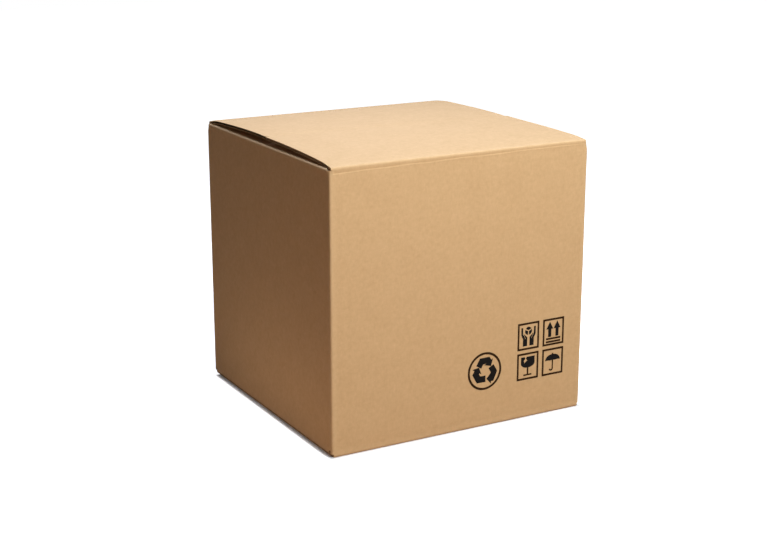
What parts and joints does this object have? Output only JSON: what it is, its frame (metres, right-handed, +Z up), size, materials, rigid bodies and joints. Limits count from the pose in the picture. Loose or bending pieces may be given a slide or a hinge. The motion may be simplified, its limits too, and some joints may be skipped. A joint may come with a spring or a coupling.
{
  "type": "closed cardboard box",
  "caption": "Closed cubic corrugated shipping carton, folded from a slotted blank and glued; untaped outer top flaps spring up a little and hinge open at their creases.",
  "frame": {"origin": "centre of the box's footprint, on the surface that it stands on", "axes": "+Z up, +X to the right along the front wall, and the printed front wall faces -Y"},
  "size_m": [0.41, 0.4, 0.4083],
  "materials": {
    "kraft_board": "matt brown kraft liner"
  },
  "bodies": {
    "case": {"case": "kraft_board"},
    "front_flap": {"front_flap": "kraft_board"},
    "rear_flap": {"rear_flap": "kraft_board"}
  },
  "joints": [
    {"name": "front_flap_fold", "type": "hinge", "parent": "case", "child": "front_flap", "pos_m": [0, -0.199, 0.399], "axis": [1, 0, 0], "range_deg": [0, 210]},
    {"name": "rear_flap_fold", "type": "hinge", "parent": "case", "child": "rear_flap", "pos_m": [0, 0.199, 0.399], "axis": [-1, 0, 0], "range_deg": [0, 210]}
  ]
}
